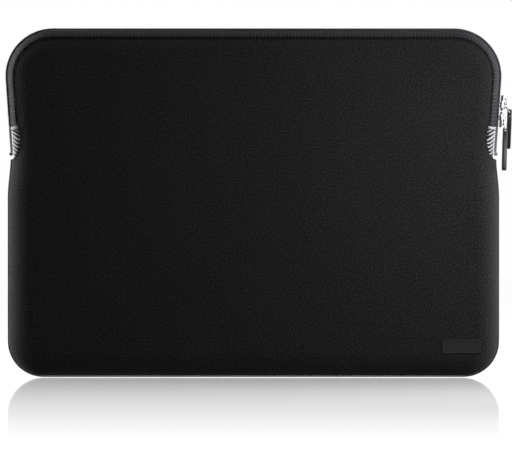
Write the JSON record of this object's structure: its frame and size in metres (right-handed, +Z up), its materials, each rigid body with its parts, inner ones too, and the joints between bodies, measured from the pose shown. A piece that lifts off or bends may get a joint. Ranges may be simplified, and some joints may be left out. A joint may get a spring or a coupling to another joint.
{
  "type": "laptop sleeve",
  "caption": "Slim padded neoprene laptop sleeve with a zip over its top and sides, stretch side gussets, a soft lining and moulded pull tabs on metal sliders.",
  "frame": {"origin": "centre of the flat underside of the bottom seam, on which the sleeve stands", "axes": "+X across the width towards the zip sliders, +Y from the front face to the back face, +Z up to the mouth"},
  "size_m": [0.337, 0.0318, 0.232],
  "materials": {
    "neoprene": "matt knitted face over closed-cell foam",
    "fleece": "short brushed pile",
    "tape": "woven ribbed tape",
    "teeth": "satin coil",
    "gusset": "pale knit with dark strokes",
    "thread": "twisted polyester",
    "chrome": "polished plate",
    "rubber": "satin moulded",
    "badge": "smooth"
  },
  "bodies": {
    "shell": {"back_panel": "neoprene", "front_panel": "neoprene", "back_lining": "fleece", "front_lining": "fleece", "zip_tape_back": "tape", "zip_teeth_back": "teeth", "edge_stitch_back": "thread", "gusset_left": "gusset", "gusset_right": "gusset", "zip_tail_left": "teeth", "zip_tail_right": "teeth", "end_stop_left": "chrome", "end_stop_right": "chrome", "seam_thread": "thread", "blank_badge": "badge"},
    "flap": {"front_flap": "neoprene", "flap_lining": "fleece", "zip_tape_front": "tape", "zip_teeth_front": "teeth", "edge_stitch_front": "thread"},
    "upper_runner": {"upper_slider": "chrome"},
    "lower_runner": {"lower_slider": "chrome"},
    "upper_ring": {"upper_link": "chrome"},
    "lower_ring": {"lower_link": "chrome"},
    "upper_puller": {"upper_tab": "rubber"},
    "lower_puller": {"lower_tab": "rubber"}
  },
  "joints": [
    {"name": "mouth_open", "type": "hinge", "parent": "shell", "child": "flap", "pos_m": [0, -0.0135, 0.166], "axis": [1, 0, 0], "range_deg": [0, 50], "stiffness_Nm_per_rad": 0.05, "springref_deg": -28.65},
    {"name": "upper_slide", "type": "slide", "parent": "shell", "child": "upper_runner", "axis": [0.0698, 0, 0.9976], "range_m": [0, 0.012]},
    {"name": "lower_slide", "type": "slide", "parent": "shell", "child": "lower_runner", "axis": [0.0698, 0, 0.9976], "range_m": [-0.014, 0]},
    {"name": "upper_link_swing", "type": "hinge", "parent": "upper_runner", "child": "upper_ring", "pos_m": [0.16682, 0, 0.18186], "axis": [-0.0327, -0.8829, -0.4683], "range_deg": [-5, 80]},
    {"name": "upper_tab_swing", "type": "hinge", "parent": "upper_ring", "child": "upper_puller", "pos_m": [0.17036, 0.00272, 0.17648], "axis": [-0.0327, -0.8829, -0.4683], "range_deg": [-8, 60]},
    {"name": "lower_link_swing", "type": "hinge", "parent": "lower_runner", "child": "lower_ring", "pos_m": [0.16606, 0, 0.17109], "axis": [0.0073, -0.9945, 0.1043], "range_deg": [0, 80]},
    {"name": "lower_tab_swing", "type": "hinge", "parent": "lower_ring", "child": "lower_puller", "pos_m": [0.16704, -0.00072, 0.1642], "axis": [0.0073, -0.9945, 0.1043], "range_deg": [0, 60]}
  ]
}
